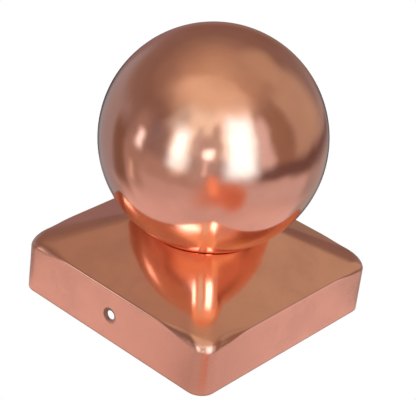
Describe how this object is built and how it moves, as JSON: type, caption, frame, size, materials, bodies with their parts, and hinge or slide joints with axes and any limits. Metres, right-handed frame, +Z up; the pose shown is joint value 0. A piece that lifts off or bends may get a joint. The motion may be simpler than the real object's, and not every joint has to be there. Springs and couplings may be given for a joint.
{
  "type": "post cap",
  "caption": "Square pressed sheet-copper cap for a timber post, with a low four-sided roof and a polished ball finial seated on top.",
  "frame": {"origin": "centre of the open underside, in the plane of the skirt's rim", "axes": "+Z up through the ball; X passes through the two screw holes in the skirt"},
  "size_m": [0.103, 0.103, 0.1225],
  "materials": {
    "cap_copper": "bright rolled copper sheet, lightly satin on the skirt",
    "ball_copper": "polished copper"
  },
  "bodies": {
    "root": {"cap": "cap_copper", "ball": "ball_copper"}
  },
  "joints": []
}
